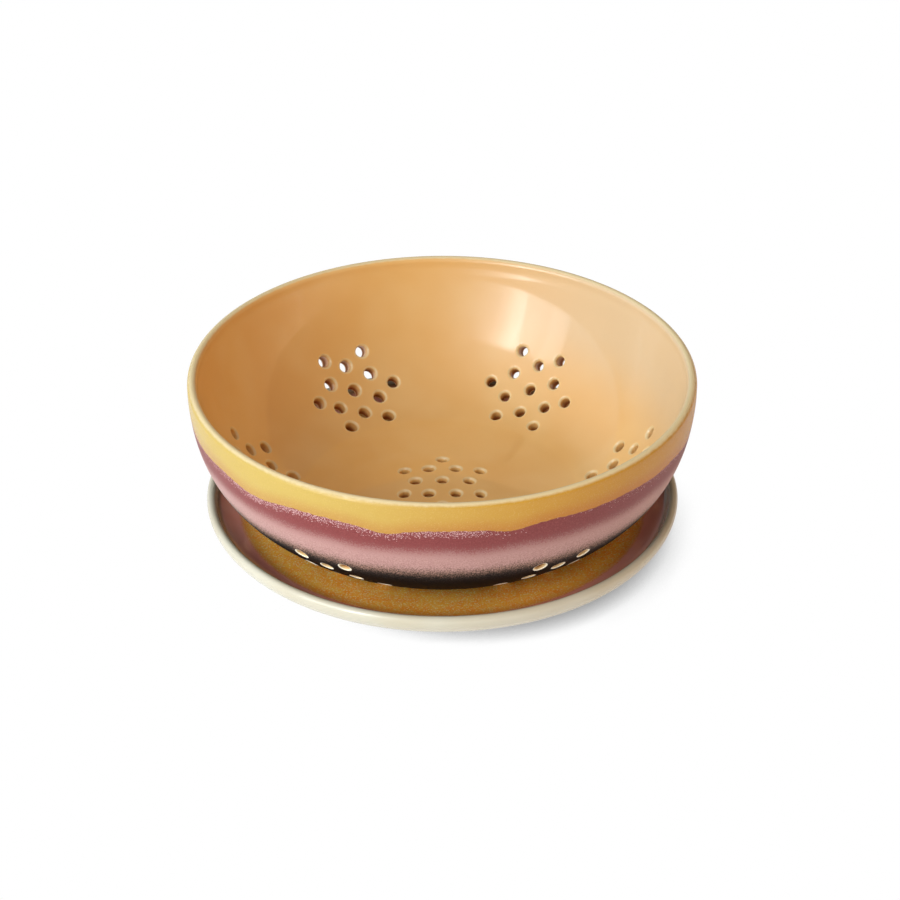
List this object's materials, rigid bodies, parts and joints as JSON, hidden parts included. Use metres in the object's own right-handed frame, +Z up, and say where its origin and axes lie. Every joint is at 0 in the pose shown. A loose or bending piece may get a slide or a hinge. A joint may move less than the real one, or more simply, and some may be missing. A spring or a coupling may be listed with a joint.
{
  "type": "berry bowl",
  "caption": "Round glazed stoneware strainer bowl with star clusters of drain holes in its floor and wall, standing loose in a shallow drip saucer.",
  "frame": {"origin": "on the table, under the middle of the saucer's foot ring", "axes": "+Z up along the common axis of bowl and saucer; one star of drain holes lies towards +X and one point of the floor star towards +Y"},
  "size_m": [0.2, 0.2, 0.0696],
  "materials": {
    "saucer_glaze": "gloss",
    "bowl_glaze": "gloss"
  },
  "bodies": {
    "saucer": {"drip_saucer": "saucer_glaze"},
    "bowl": {"strainer_bowl": "bowl_glaze"}
  },
  "joints": [
    {"name": "bowl_lift", "type": "slide", "parent": "saucer", "child": "bowl", "axis": [0, 0, 1], "range_m": [0, 0.1]}
  ]
}
